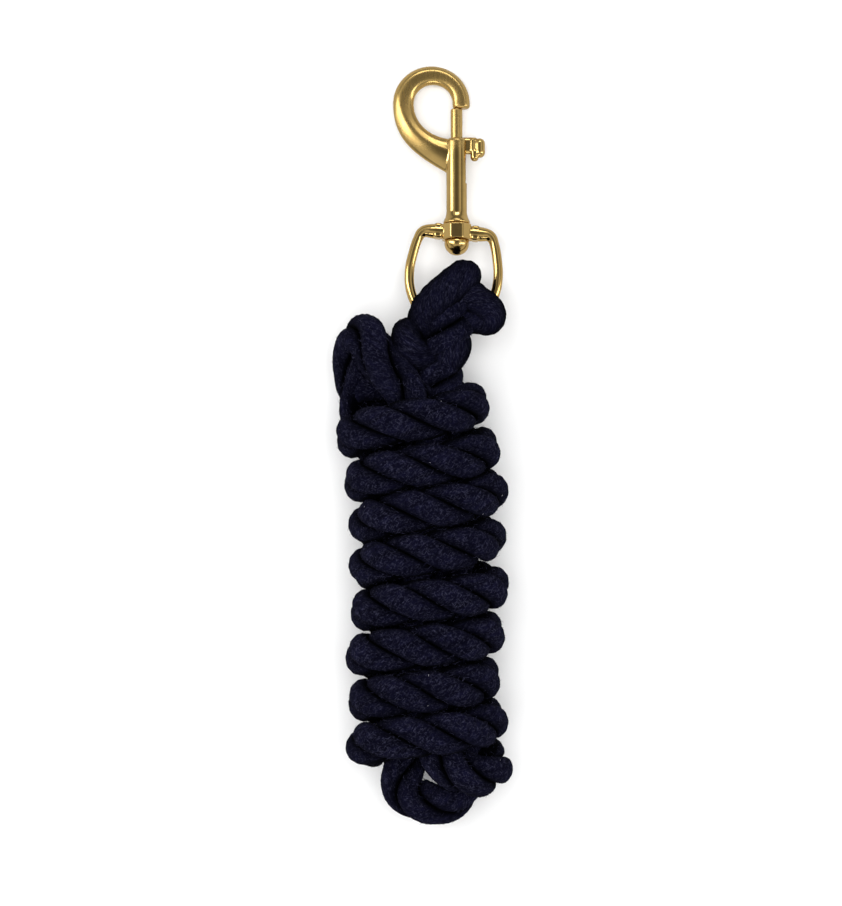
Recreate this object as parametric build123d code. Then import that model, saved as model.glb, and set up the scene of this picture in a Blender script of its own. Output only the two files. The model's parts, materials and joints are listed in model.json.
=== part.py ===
from build123d import *

import math
import os

# A horse's lead rope: three-strand rope hanked up, with a swivel bolt snap spliced to its end.
# Millimetres. The rope lies flat on a surface at Z = 0, the snap points along +Y, and the origin
# is the middle of the footprint.

# ---------------------------------------------------------------- driving dimensions: rope
ROPE_DIAMETER = 18.0
BIGHT_SQUEEZE = 1.0
TAIL_SQUEEZE = 2.0
STRAND_DIAMETER = 11.0
FLOOR_GAP = 0.3
EYE_BEND_SLACK = 0.1
HANK_HEIGHT = 58.0
HANK_CORNER = 24.0
HANK_FLAT = 0.8
WHIPPING_LENGTH = 9.0
WHIPPING_WALL = 0.7
WHIPPING_OVERHANG = 0.5

# ---------------------------------------------------------------- driving dimensions: ring
RING_WIRE = 4.0
RING_TOP_HALF_WIDTH = 13.8
RING_SIDE_HALF_WIDTH = 18.5
RING_BAR_HALF_WIDTH = 14.6
ROPE_TO_RIVET = 3.02
RING_SIDE_DROP = 19.0
RING_LEAN = 4.0
RING_TOP_RADIUS = 4.5
RING_SIDE_RADIUS = 16.0
RING_BAR_RADIUS = 8.5
CROSSBAR_HEIGHT = 5.6
CROSSBAR_DEPTH = 4.6
CROSSBAR_INSET = 0.5
CROSSBAR_EDGE = 1.2
BOSS_DIAMETER = 11.6
BOSS_HEIGHT = 6.6
EYE_CLEARANCE = 0.6

# ---------------------------------------------------------------- driving dimensions: snap
BARREL_DIAMETER = 8.6
BARREL_LENGTH = 36.3
SHOULDER_DIAMETER = 11.4
SHOULDER_HEIGHT = 3.6
SHOULDER_BEVEL = 1.35
BOLT_DIAMETER = 4.9
BOLT_LENGTH = 26.0
BOLT_TIP_EDGE = 0.6
BOLT_TRAVEL = 12.0
GATE_GAP = 12.7
TIP_GAP = 0.1
RUNNING_CLEARANCE = 0.05
AXIAL_CLEARANCE = 0.08
HOOK_THICKNESS = 5.6
HOOK_OUTER_RADIUS = 15.9
HOOK_INNER_RADIUS = 8.0
HOOK_OFFSET = 10.4
HOOK_INNER_OFFSET = 9.7
HOOK_EDGE = 1.2
HOOK_ROOT_DEPTH = 1.4
HOOK_ROOT_HEIGHT = 15.4
HOOK_MOUTH_SIDE = 1.0
NOSE_LENGTH = 2.2
STUD_THICKNESS = 3.2
STUD_HEIGHT = 7.2
STUD_REACH = 12.0
STUD_RISE = 0.6
STUD_SHANK_EXTRA = 0.5
KNOB_WIDTH = 4.2
KNOB_HEIGHT = 10.2
KNOB_DEPTH = 5.4
KNOB_DROP = 0.4
KNOB_CORNER = 1.9
KNOB_EDGE = 1.2
SLOT_CLEARANCE = 0.25
RIVET_HEAD_DIAMETER = 10.2
RIVET_HEAD_HEIGHT = 6.2
RIVET_DOME_SHARE = 0.7
RIVET_GRIP = 4.5
SPRING_WIRE = 0.6
SPRING_TURNS = 9
SPRING_CLEARANCE = 0.15

# ---------------------------------------------------------------- how the snap lies
SNAP_TILT = 10.0
RING_BAR_X = 11.8
RING_BAR_Y = 54.5

rope_radius = ROPE_DIAMETER / 2
wire_radius = RING_WIRE / 2
eye_bend = wire_radius + EYE_CLEARANCE + rope_radius
ring_bar_z = FLOOR_GAP + rope_radius + eye_bend
bore_diameter = BOLT_DIAMETER + 2 * RUNNING_CLEARANCE
boss_bore = bore_diameter + 2 * RUNNING_CLEARANCE

# The ring is just long enough for the rope to lie between its bar and the rivet's head.
rope_and_gap = eye_bend + rope_radius + ROPE_TO_RIVET
ring_height = rope_and_gap + RIVET_HEAD_HEIGHT + AXIAL_CLEARANCE + BOSS_HEIGHT / 2

# Stations along the snap's axis, counted from the ring's bar.
boss_middle = ring_height
boss_bottom = boss_middle - BOSS_HEIGHT / 2
boss_top = boss_middle + BOSS_HEIGHT / 2
barrel_bottom = boss_top + AXIAL_CLEARANCE
barrel_top = barrel_bottom + BARREL_LENGTH
nose_bottom = barrel_top + GATE_GAP
bolt_tip = nose_bottom - TIP_GAP
bolt_end = bolt_tip - BOLT_LENGTH
rivet_end = barrel_bottom + RIVET_GRIP
stud_top = barrel_top + STUD_RISE
stud_bottom = stud_top - STUD_HEIGHT
slot_bottom = stud_bottom - BOLT_TRAVEL - SLOT_CLEARANCE
hook_middle = nose_bottom + NOSE_LENGTH

# The boss stands beside the bar's middle, because the ring leans.
axis_offset = ring_height * math.tan(math.radians(RING_LEAN))
lie = Pos(RING_BAR_X, RING_BAR_Y, ring_bar_z) * Rot(-SNAP_TILT, 0, 0)


# ---------------------------------------------------------------- helpers
def unit(a, b):
    """The unit vector from point a to point b."""
    return (Vector(*b) - Vector(*a)).normalized()


def corner_radii(points, fixed=None):
    """One arc radius for each inner corner, as large as its two runs allow."""
    fixed = fixed or {}
    radii = []
    for i in range(1, len(points) - 1):
        before = (Vector(*points[i]) - Vector(*points[i - 1])).length
        after = (Vector(*points[i + 1]) - Vector(*points[i])).length
        turn = unit(points[i - 1], points[i]).get_angle(unit(points[i], points[i + 1]))
        radius = 0.45 * min(before, after) / math.tan(math.radians(turn / 2))
        radii.append(fixed.get(i, radius))
    return radii


def rope_tube(name, points, diameter, fixed=None):
    """A plain tube along straight runs joined by tangent arcs."""
    radii = corner_radii(points, fixed)
    path = FilletPolyline(*points, radius=radii)
    start = Plane(origin=points[0], z_dir=unit(points[0], points[1]))
    tube = sweep(start * Circle(diameter / 2), path=path)
    expected = math.pi * diameter ** 2 / 4 * path.length
    print(
        f"{name}: length {path.length:.1f}, radii {[round(r, 1) for r in radii]}, "
        f"volume {tube.volume / expected:.4f} of section times length"
    )
    return tube


def along_axis(station, height, diameter):
    """A cylinder on the snap's axis, from a station towards the hook."""
    place = Pos(axis_offset, station + height / 2, 0) * Rot(90, 0, 0)
    return place * Cylinder(diameter / 2, height)


# ---------------------------------------------------------------- brass
def swivel_ring():
    """The D-shaped ring: a wire bow, a flat crossbar and a bored boss."""
    corners = [
        (RING_TOP_HALF_WIDTH, ring_height),
        (RING_SIDE_HALF_WIDTH, ring_height - RING_SIDE_DROP),
        (RING_BAR_HALF_WIDTH, 0),
    ]
    mirrored = [(-x, y) for x, y in reversed(corners)]
    outline = Polyline(*corners, *mirrored, close=True)
    radii = [RING_TOP_RADIUS, RING_SIDE_RADIUS, RING_BAR_RADIUS]
    face = make_face(outline)
    for corner, radius in zip(corners + mirrored, radii + radii[::-1]):
        vertex = face.vertices().sort_by_distance((*corner, 0))[0]
        face = fillet(vertex, radius)
    bow_path = face.faces()[0].outer_wire()
    start = bow_path @ 0
    bow = sweep(Plane(origin=start, z_dir=bow_path % 0) * Circle(wire_radius), path=bow_path)
    crossbar_length = 2 * (RING_TOP_HALF_WIDTH - CROSSBAR_INSET)
    crossbar = Box(crossbar_length, CROSSBAR_HEIGHT, CROSSBAR_DEPTH)
    crossbar = fillet(crossbar.edges().filter_by(Axis.X), CROSSBAR_EDGE)
    # The bow leans about the boss: the bar's middle stays over the origin.
    lean = Pos(axis_offset, ring_height, 0) * Rot(0, 0, -RING_LEAN) * Pos(0, -ring_height, 0)
    leaning = lean * (bow + Pos(0, ring_height, 0) * crossbar)
    ring = leaning + along_axis(boss_bottom, BOSS_HEIGHT, BOSS_DIAMETER)
    return ring - along_axis(boss_bottom - BOSS_HEIGHT, 3 * BOSS_HEIGHT, boss_bore)


def hook_outline():
    """The hook's flat outline beside the snap's axis, as one face."""
    centre = -HOOK_OFFSET
    inner_centre = -HOOK_INNER_OFFSET
    barrel_edge = -BARREL_DIAMETER / 2 + HOOK_ROOT_DEPTH
    outer_right = centre + HOOK_OUTER_RADIUS
    inner_right = inner_centre + HOOK_INNER_RADIUS
    inner_left = inner_centre - HOOK_INNER_RADIUS
    side_low = hook_middle - HOOK_MOUTH_SIDE
    web_low = barrel_top - HOOK_ROOT_HEIGHT
    outer_left = centre - HOOK_OUTER_RADIUS
    back_width = barrel_edge - outer_left
    back_height = hook_middle - web_low
    back_upper = (outer_left + 0.13 * back_width, hook_middle - 0.42 * back_height)
    back_lower = (outer_left + 0.48 * back_width, hook_middle - 0.76 * back_height)
    mouth_width = barrel_edge - inner_left
    mouth_low = (inner_left + 0.46 * mouth_width, 0.82 * barrel_top + 0.18 * hook_middle)
    with BuildSketch() as sketch:
        with BuildLine():
            Line((outer_right, nose_bottom), (outer_right, hook_middle))
            ThreePointArc(
                (outer_right, hook_middle),
                (centre, hook_middle + HOOK_OUTER_RADIUS),
                (outer_left, hook_middle),
            )
            Spline(
                (outer_left, hook_middle),
                back_upper,
                back_lower,
                (barrel_edge, web_low),
                tangents=[(0, -1), (0.86, -0.5)],
            )
            Line((barrel_edge, web_low), (barrel_edge, barrel_top))
            Spline(
                (barrel_edge, barrel_top),
                mouth_low,
                (inner_left, side_low),
                tangents=[(-1, 0.02), (0, 1)],
            )
            Line((inner_left, side_low), (inner_left, hook_middle))
            ThreePointArc(
                (inner_left, hook_middle),
                (inner_centre, hook_middle + HOOK_INNER_RADIUS),
                (inner_right, hook_middle),
            )
            Line((inner_right, hook_middle), (inner_right, nose_bottom))
            Line((inner_right, nose_bottom), (outer_right, nose_bottom))
        make_face()
    return sketch.sketch


def snap_body():
    """Hook, barrel and shoulder in one casting, bored and slotted."""
    hook = extrude(Pos(axis_offset, 0, 0) * hook_outline(), HOOK_THICKNESS / 2, both=True)
    rim = hook.faces().filter_by(Axis.Z).edges()
    hook = chamfer(rim, HOOK_EDGE)
    barrel = along_axis(barrel_bottom, BARREL_LENGTH, BARREL_DIAMETER)
    shoulder = along_axis(barrel_bottom, SHOULDER_HEIGHT, SHOULDER_DIAMETER)
    upper_rim = shoulder.edges().sort_by(Axis.Y)[-1]
    shoulder = chamfer(upper_rim, SHOULDER_BEVEL)
    body = hook + barrel + shoulder
    bore = along_axis(barrel_bottom, BARREL_LENGTH + STUD_RISE, bore_diameter)
    slot_height = stud_top - slot_bottom
    slot = Box(BARREL_DIAMETER, slot_height, STUD_THICKNESS + 2 * SLOT_CLEARANCE)
    slot = Pos(axis_offset + BARREL_DIAMETER / 2, slot_bottom + slot_height / 2, 0) * slot
    return body - bore - slot


def snap_bolt():
    """The sliding plunger with a rounded tip and a cross hole for the stud."""
    bolt = along_axis(bolt_end, BOLT_LENGTH, BOLT_DIAMETER)
    bolt = fillet(bolt.edges().filter_by(GeomType.CIRCLE).sort_by(Axis.Y)[-1], BOLT_TIP_EDGE)
    return bolt - stud_shank()


def stud_shank():
    """The part of the thumb stud that is held in the bolt."""
    depth = BOLT_DIAMETER / 2 + STUD_SHANK_EXTRA
    shank = Box(depth, STUD_HEIGHT, STUD_THICKNESS)
    return Pos(axis_offset + depth / 2, stud_bottom + STUD_HEIGHT / 2, 0) * shank


def thumb_stud():
    """The thumb stud: a flat arm out of the slot with a turned-down knob."""
    arm_length = STUD_REACH - KNOB_WIDTH / 2
    arm = Box(arm_length, STUD_HEIGHT, STUD_THICKNESS)
    arm = Pos(axis_offset + arm_length / 2, stud_bottom + STUD_HEIGHT / 2, 0) * arm
    knob = Box(KNOB_WIDTH, KNOB_HEIGHT, KNOB_DEPTH)
    knob = fillet(knob.edges().filter_by(Axis.Z), KNOB_CORNER)
    knob = fillet(knob.faces().filter_by(Axis.Z).edges(), KNOB_EDGE)
    knob_x = axis_offset + arm_length
    knob_y = stud_top - KNOB_DROP - KNOB_HEIGHT / 2
    return arm + Pos(knob_x, knob_y, 0) * knob


def swivel_rivet():
    """The rivet: a domed head under the boss and a shank pressed into the barrel."""
    head_face = boss_bottom - AXIAL_CLEARANCE
    head = along_axis(head_face - RIVET_HEAD_HEIGHT, RIVET_HEAD_HEIGHT, RIVET_HEAD_DIAMETER)
    dome = RIVET_DOME_SHARE * RIVET_HEAD_HEIGHT
    head = fillet(head.edges().sort_by(Axis.Y)[0], dome)
    return head + along_axis(head_face, rivet_end - head_face, bore_diameter)


def bolt_spring():
    """The compression spring between the rivet's shank and the bolt."""
    height = bolt_end - rivet_end - 2 * SPRING_CLEARANCE - SPRING_WIRE
    radius = bore_diameter / 2 - SPRING_WIRE / 2 - SPRING_CLEARANCE
    coil = Helix(pitch=height / SPRING_TURNS, height=height, radius=radius)
    section = Plane(origin=coil @ 0, z_dir=coil % 0) * Circle(SPRING_WIRE / 2)
    spring = sweep(section, path=coil, is_frenet=True)
    start = rivet_end + SPRING_CLEARANCE + SPRING_WIRE / 2
    place = Pos(axis_offset, start, 0) * Rot(-90, 0, 0)
    return place * spring


# ---------------------------------------------------------------- rope
def rope_eye():
    """The neck out of the hank and the eye round the ring's bar."""
    upper = ring_bar_z + eye_bend
    lower = ring_bar_z - eye_bend
    beyond = RING_BAR_Y + eye_bend
    points = [
        (4.0, 10.0, 30.0),
        (5.5, 26.0, 31.0),
        (10.0, 42.0, upper),
        (14.2, beyond, upper),
        (14.2, beyond, lower),
        (11.4, 41.0, lower),
    ]
    round_bar = eye_bend - EYE_BEND_SLACK
    return rope_tube("rope_eye", points, ROPE_DIAMETER, {3: round_bar, 4: round_bar})


def rope_top_bight():
    """The fold of the core that stands out beside the neck."""
    points = [
        (-24.5, 12.0, 24.0),
        (-28.6, 28.0, 24.0),
        (-28.8, 43.0, 27.0),
        (-18.5, 49.5, 36.0),
        (-9.0, 38.0, 42.0),
        (-8.0, 21.5, 42.0),
    ]
    return rope_tube("rope_top_bight", points, ROPE_DIAMETER - BIGHT_SQUEEZE)


def rope_bottom_bight():
    """The fold of the core at the far end of the hank."""
    points = [
        (-7.5, -121.0, 25.0),
        (-9.0, -147.2, 25.0),
        (17.0, -147.2, 31.0),
        (16.0, -121.0, 31.0),
    ]
    return rope_tube("rope_bottom_bight", points, ROPE_DIAMETER)


tail_points = [
    (-25.0, 20.0, 26.0),
    (-13.0, 26.0, 28.5),
    (-4.0, 29.5, 21.0),
    (-1.0, 31.0, 9.5),
]


def rope_tail():
    """The last part of the outermost turn, tucked under the neck."""
    return rope_tube("rope_tail", tail_points, ROPE_DIAMETER - TAIL_SQUEEZE)


def end_whipping():
    """The twine band round the rope's free end."""
    end = Vector(*tail_points[-1])
    back = unit(tail_points[-1], tail_points[-2])
    band_plane = Plane(origin=end - back * WHIPPING_OVERHANG, z_dir=back)
    inner = (ROPE_DIAMETER - TAIL_SQUEEZE) / 2
    band = Circle(inner + WHIPPING_WALL) - Circle(inner)
    return extrude(band_plane * band, WHIPPING_LENGTH)


def rope_hank():
    """The outer shape of the wraps: one closed solid, flattened where it lies."""
    stations = [
        (27.0, -2.0, 40.0, 0.72),
        (17.0, -4.0, 63.0, 0.98),
        (-10.0, 0.5, 65.5, 1.0),
        (-60.0, 2.8, 66.5, 1.0),
        (-112.0, 1.8, 67.0, 1.0),
        (-131.0, 2.6, 66.0, 0.97),
        (-140.0, 8.0, 46.0, 0.74),
    ]
    sections = []
    for y, x, width, share in stations:
        height = HANK_HEIGHT * share
        corner = HANK_CORNER * share
        middle = HANK_HEIGHT / 2 - HANK_FLAT
        place = Plane(origin=(x, y, middle), x_dir=(1, 0, 0), z_dir=(0, 1, 0))
        sections.append(place * RectangleRounded(width, height, min(corner, 0.45 * width)))
    whole = loft(sections)
    size = whole.bounding_box().size
    above_floor = Pos(0, 0, HANK_HEIGHT) * Box(3 * size.X, 3 * size.Y, 2 * HANK_HEIGHT)
    return whole & above_floor


def splice_tuck(name, points):
    """One unlaid strand of the splice."""
    return rope_tube(name, points, STRAND_DIAMETER)


tucks = {
    "splice_tuck_left": [
        (6.0, 33.0, 20.0),
        (-4.0, 44.0, 24.0),
        (-7.0, 44.0, 33.0),
        (-4.0, 34.0, 38.5),
        (6.0, 28.0, 37.0),
    ],
    "splice_tuck_right": [
        (8.0, 31.0, 13.0),
        (15.0, 42.5, 23.0),
        (12.0, 35.0, 34.0),
    ],
    "splice_tuck_ring": [
        (11.0, 54.0, 33.0),
        (21.0, 59.5, 34.0),
        (28.5, 55.0, 34.0),
        (28.5, 46.5, 34.5),
        (20.0, 42.0, 34.0),
        (11.0, 43.0, 32.0),
    ],
}


def main():
    brass = {
        "swivel_ring": swivel_ring(),
        "snap_body": snap_body(),
        "snap_bolt": snap_bolt(),
        "thumb_stud": thumb_stud(),
        "swivel_rivet": swivel_rivet(),
        "bolt_spring": bolt_spring(),
    }
    parts = {name: lie * shape for name, shape in brass.items()}
    parts["rope_eye"] = rope_eye()
    parts["rope_top_bight"] = rope_top_bight()
    parts["rope_bottom_bight"] = rope_bottom_bight()
    parts["rope_tail"] = rope_tail()
    parts["end_whipping"] = end_whipping()
    parts["rope_hank"] = rope_hank()
    for name, points in tucks.items():
        parts[name] = splice_tuck(name, points)
    os.makedirs("parts", exist_ok=True)
    for name, shape in parts.items():
        solids = shape.solids()
        kept = solids[0] if len(solids) == 1 else Compound(children=list(solids))
        export_step(kept, f"parts/{name}.step")
        box = kept.bounding_box()
        print(name, len(solids), [round(v, 1) for v in (*box.min, *box.max)])


main()
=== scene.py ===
"""Looks for a horse's lead rope: laid cotton rope, hanked up, with a brass swivel bolt snap."""
import json
import math
import random
from functools import partial

import bmesh
import bpy
import numpy as np
from mathutils import Matrix, Vector


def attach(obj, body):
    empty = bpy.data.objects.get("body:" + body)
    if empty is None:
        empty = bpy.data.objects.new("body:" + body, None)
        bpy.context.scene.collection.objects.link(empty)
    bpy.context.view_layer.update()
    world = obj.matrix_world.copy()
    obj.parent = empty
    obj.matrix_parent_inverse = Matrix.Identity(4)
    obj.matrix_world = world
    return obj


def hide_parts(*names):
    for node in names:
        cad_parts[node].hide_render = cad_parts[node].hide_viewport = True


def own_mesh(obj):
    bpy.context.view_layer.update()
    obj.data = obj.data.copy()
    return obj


bl_info = {
    "name": "Lead Rope",
    "version": (1, 0, 0),
    "blender": (4, 5, 0),
    "location": "View3D > Sidebar > Lead Rope",
    "description": "Builds the looks of a hanked lead rope round its frame",
    "category": "Object",
}

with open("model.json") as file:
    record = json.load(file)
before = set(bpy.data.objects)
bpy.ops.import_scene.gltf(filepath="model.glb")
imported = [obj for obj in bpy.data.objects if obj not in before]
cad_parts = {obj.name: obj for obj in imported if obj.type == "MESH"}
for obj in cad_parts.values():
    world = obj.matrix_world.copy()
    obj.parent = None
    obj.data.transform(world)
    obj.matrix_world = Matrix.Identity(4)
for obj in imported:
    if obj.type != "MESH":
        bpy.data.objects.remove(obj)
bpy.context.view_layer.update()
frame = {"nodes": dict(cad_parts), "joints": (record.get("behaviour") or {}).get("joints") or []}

MM = 0.001

# ---- the rope's route, in metres
# From the eye round the ring's bar, up and down the core, to the first turn.
CORE_ROUTE = [
    # the eye
    (0.0114, 0.0410, 0.0093), (0.0142, 0.0661, 0.0093), (0.0142, 0.0661, 0.0325),
    (0.0100, 0.0420, 0.0325), (0.0055, 0.0260, 0.0310), (0.0040, 0.0100, 0.0300),
    # first run
    (0.0090, -0.0080, 0.0290), (0.0115, -0.0350, 0.0280), (0.0120, -0.0750, 0.0275),
    (0.0140, -0.1050, 0.0270),
    # bottom bight
    (0.0160, -0.1210, 0.0270), (0.0170, -0.1472, 0.0270), (-0.0090, -0.1472, 0.0250),
    (-0.0075, -0.1210, 0.0250),
    # second run
    (-0.0070, -0.1000, 0.0220), (-0.0070, -0.0700, 0.0220), (-0.0080, -0.0350, 0.0220),
    (-0.0140, -0.0080, 0.0225),
    # top bight
    (-0.0250, 0.0100, 0.0240), (-0.0272, 0.0220, 0.0240), (-0.0280, 0.0430, 0.0260),
    (-0.0215, 0.0450, 0.0360), (-0.0170, 0.0310, 0.0420), (-0.0060, 0.0215, 0.0410),
    # third run
    (0.0020, 0.0100, 0.0390), (0.0020, -0.0200, 0.0345), (-0.0010, -0.0600, 0.0340),
    (-0.0020, -0.0980, 0.0350),
    # into the first turn
    (0.0020, -0.1200, 0.0360), (0.0120, -0.1330, 0.0400), (0.0235, -0.1365, 0.0360),
    (0.0298, -0.1315, 0.0250), (0.0230, -0.1275, 0.0120), (0.0080, -0.1262, 0.0082),
    (-0.0100, -0.1250, 0.0085),
]
# Outer edges of the turns, x and y, left and right by turns, from the far end towards the snap.
TURN_EDGES = [
    (-0.0322, -0.1234), (0.0351, -0.1132), (-0.0308, -0.1050), (0.0325, -0.0960),
    (-0.0318, -0.0865), (0.0340, -0.0775), (-0.0299, -0.0681), (0.0359, -0.0586),
    (-0.0301, -0.0504), (0.0342, -0.0381), (-0.0301, -0.0332), (0.0351, -0.0189),
    (-0.0326, -0.0156), (0.0322, -0.0020), (-0.0359, 0.0029), (0.0277, 0.0164),
    (-0.0334, 0.0200),
]
# Where a strand's crown faces outward: in the top bight, and over the front of each turn at x, y.
ARCH_CROWN = ((-0.0250, 0.0440, 0.0310), (0.0, 0.94, -0.34))
TURN_CROWN_HEIGHT = 0.0490
TURN_CROWNS = [
    (0.0023, -0.1255), (0.0100, -0.1041), (-0.0031, -0.0857), (0.0113, -0.0652),
    (0.0051, -0.0476), (0.0031, -0.0299), (-0.0072, -0.0127), (0.0064, 0.0131),
]
TAIL_ROUTE = [
    (-0.0250, 0.0200, 0.0260), (-0.0130, 0.0260, 0.0285), (-0.0040, 0.0295, 0.0210),
    (-0.0010, 0.0310, 0.0095),
]


# ---- settings
def number(name, description, default, unit="LENGTH"):
    return bpy.props.FloatProperty(name=name, description=description, default=default, unit=unit)


def amount(name, description, default):
    return bpy.props.IntProperty(name=name, description=description, default=default, min=0)


def tint(name, description, default):
    return bpy.props.FloatVectorProperty(name=name, description=description, default=default, subtype="COLOR")


class RopeSettings(bpy.types.PropertyGroup):
    """Sizes and colours of the rope."""

    diameter: number("Diameter", "Thickness of the rope", 18 * MM)
    lay_length: number("Lay length", "Rope for one turn of a strand", 51 * MM)
    neck_lay_length: number("Neck lay length", "Lay of the spliced neck", 36 * MM)
    neck_length: number("Neck length", "Rope that the splice thickens", 85 * MM)
    neck_girth: number("Neck girth", "Thickness of the spliced neck over the rope's", 1.14, "NONE")
    eye_girth: number("Eye girth", "Thickness of the eye on the ring's bar over the rope's", 0.86, "NONE")
    lay_start: number("Lay start", "Turn of the strands at the rope's start", 1.05, "ROTATION")
    flattening: number("Flattening", "Thickness left where a turn is pulled tight", 0.93, "NONE")
    turn_inset: number("Turn inset", "From a turn's outer edge to its middle", 8.5 * MM)
    hank_top: number("Hank top", "Height of the middle of a turn over the core", 49.8 * MM)
    hank_bottom: number("Hank bottom", "Height of the middle of a turn under the core", 8.1 * MM)
    hairs: amount("Hairs", "Loose cotton fibres on the rope, lying and standing alike", 8500)
    lint: amount("Lint", "Pale specks of lint", 60)
    colour: tint("Colour", "Dyed cotton", (0.0056, 0.0055, 0.0185))
    fibre_colour: tint("Fibre colour", "Raised fibres", (0.042, 0.042, 0.074))
    twine_colour: tint("Twine colour", "Whipping twine", (0.012, 0.012, 0.030))


class BrassSettings(bpy.types.PropertyGroup):
    """Colours of the snap's metal."""

    colour: tint("Brass", "Polished brass", (0.72, 0.49, 0.170))
    dull_colour: tint("Dull brass", "Brass in hollows", (0.42, 0.275, 0.090))
    steel_colour: tint("Spring steel", "Spring wire", (0.60, 0.60, 0.62))


class StageSettings(bpy.types.PropertyGroup):
    """Camera and floor."""

    view_height: number("View height", "Height of the view at the object", 0.3715)
    view_x: number("View x", "Middle of the view", -0.0006)
    view_y: number("View y", "Middle of the view", -0.0037)
    distance: number("Distance", "Camera above the floor", 2.2)
    middle_height: number("Middle height", "Height that the view's scale holds at", 0.028)
    floor_colour: tint("Floor", "Plain pale floor", (0.93, 0.93, 0.93))


# ---- shader helpers
class Sock:
    """A node socket that can be used in sums."""

    def __init__(self, shader, socket):
        self.shader = shader
        self.socket = socket

    def maths(self, operation, first, second=0.0):
        return self.shader.node("ShaderNodeMath", {"operation": operation}, {0: first, 1: second})

    def __add__(self, other):
        return self.maths("ADD", self, other)

    def __radd__(self, other):
        return self.maths("ADD", other, self)

    def __sub__(self, other):
        return self.maths("SUBTRACT", self, other)

    def __rsub__(self, other):
        return self.maths("SUBTRACT", other, self)

    def __mul__(self, other):
        return self.maths("MULTIPLY", self, other)

    def __rmul__(self, other):
        return self.maths("MULTIPLY", other, self)


class Shader:
    """A material that is built by calls."""

    def __init__(self, name):
        self.material = bpy.data.materials.new(name)
        self.material.use_nodes = True
        self.tree = self.material.node_tree
        self.surface = self.tree.nodes["Principled BSDF"]

    def node(self, kind, settings, inputs, output=0):
        """Makes any node, and gives one of its outputs."""
        made = self.tree.nodes.new(kind)
        for key, value in settings.items():
            setattr(made, key, value)
        for key, value in inputs.items():
            self.feed(made.inputs[key], value)
        return Sock(self, made.outputs[output])

    def feed(self, socket, value):
        if isinstance(value, Sock):
            self.tree.links.new(value.socket, socket)
        elif socket.type == "RGBA" and len(value) == 3:
            socket.default_value = (*value, 1)
        else:
            socket.default_value = value

    def finish(self, **inputs):
        for key, value in inputs.items():
            self.feed(self.surface.inputs[key.replace("_", " ")], value)
        return self.material

    def object_point(self, stretch=(1, 1, 1)):
        place = self.node("ShaderNodeTexCoord", {}, {}, "Object")
        return self.node("ShaderNodeMapping", {}, {"Vector": place, "Scale": stretch})

    def surface_point(self, layer, stretch=(1, 1, 1), turn=0.0):
        """A place on the surface, turned first and then stretched."""
        place = self.node("ShaderNodeUVMap", {"uv_map": layer}, {})
        inputs = {"Vector": place, "Rotation": (0, 0, turn), "Scale": tuple(1 / k for k in stretch)}
        return self.node("ShaderNodeMapping", {"vector_type": "TEXTURE"}, inputs)

    def noise(self, place, scale, detail=3.0, roughness=0.6):
        inputs = {"Vector": place, "Scale": scale, "Detail": detail, "Roughness": roughness}
        return self.node("ShaderNodeTexNoise", {}, inputs)

    def ramp(self, value, low, high, bottom=0.0, top=1.0):
        inputs = {"Value": value, "From Min": low, "From Max": high, "To Min": bottom, "To Max": top}
        return self.node("ShaderNodeMapRange", {}, inputs)

    def mix(self, share, first, second):
        return self.node("ShaderNodeMix", {"data_type": "RGBA"}, {0: share, 6: first, 7: second}, 2)

    def bump(self, height, strength, distance):
        inputs = {"Height": height, "Strength": strength, "Distance": distance}
        return self.node("ShaderNodeBump", {}, inputs)


# ---- materials
def cotton(settings, name="dyed_cotton"):
    """Soft dyed cotton: woolly yarns with raised fibres, with painted shade that darkens the creases between
    strands.
    """
    s = Shader(name)
    fibres = s.noise(s.surface_point("yarn", (1.0, 0.30, 1.0)), 2300.0, 3.0, 0.75)
    slanting = s.noise(s.surface_point("yarn", (1.0, 0.22, 1.0), 0.5), 2600.0, 2.0, 0.7)
    crossing = s.noise(s.surface_point("yarn", (1.0, 0.22, 1.0), -0.7), 2500.0, 2.0, 0.7)
    yarns = s.noise(s.surface_point("yarn", (1.0, 0.10, 1.0)), 430.0, 2.0, 0.6)
    wool = s.noise(s.surface_point("yarn", (1.0, 0.7, 1.0)), 620.0, 4.0, 0.75)
    patches = s.noise(s.object_point(), 70.0, 3.0, 0.6)
    streaks = s.ramp(fibres, 0.52, 0.68) + s.ramp(slanting, 0.56, 0.68) + s.ramp(crossing, 0.57, 0.69)
    woolly = s.ramp(wool, 0.30, 0.58, 0.15, 1.0)
    raised = s.ramp(streaks, 0.1, 1.0) * woolly * s.ramp(patches, 0.30, 0.70, 0.35, 0.8)
    deep = tuple(0.30 * c for c in settings.colour)
    tone = s.mix(s.ramp(yarns, 0.35, 0.65) * s.ramp(wool, 0.30, 0.65), deep, settings.colour)
    colour = s.mix(raised, tone, settings.fibre_colour)
    # Painted shade: the colour falls to near black in the creases between strands and turns, so only the
    # crowns keep their full colour.
    crease_shade = s.node("ShaderNodeSeparateXYZ", {}, {0: s.surface_point("crease_shade")})
    colour = s.mix(s.ramp(crease_shade, 0.62, 0.97), tuple(0.03 * c for c in settings.colour), colour)
    height = fibres * 0.4 + slanting * 0.4 + crossing * 0.4 + yarns * 0.4 + wool * 0.6
    return s.finish(
        Base_Color=colour,
        Roughness=0.92,
        Specular_IOR_Level=0.01,
        Sheen_Weight=0.006,
        Sheen_Roughness=0.6,
        Sheen_Tint=(0.5, 0.52, 0.85, 1),
        Normal=s.bump(height, 1.0, 0.0010),
    )


def hair_material(settings):
    s = Shader("loose_fibres")
    shade = s.noise(s.object_point(), 300.0, 1.0)
    pale = tuple(1.6 * c for c in settings.fibre_colour)
    colour = s.mix(s.ramp(shade, 0.35, 0.75), settings.colour, pale)
    return s.finish(Base_Color=colour, Roughness=0.95, Specular_IOR_Level=0.1)


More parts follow.
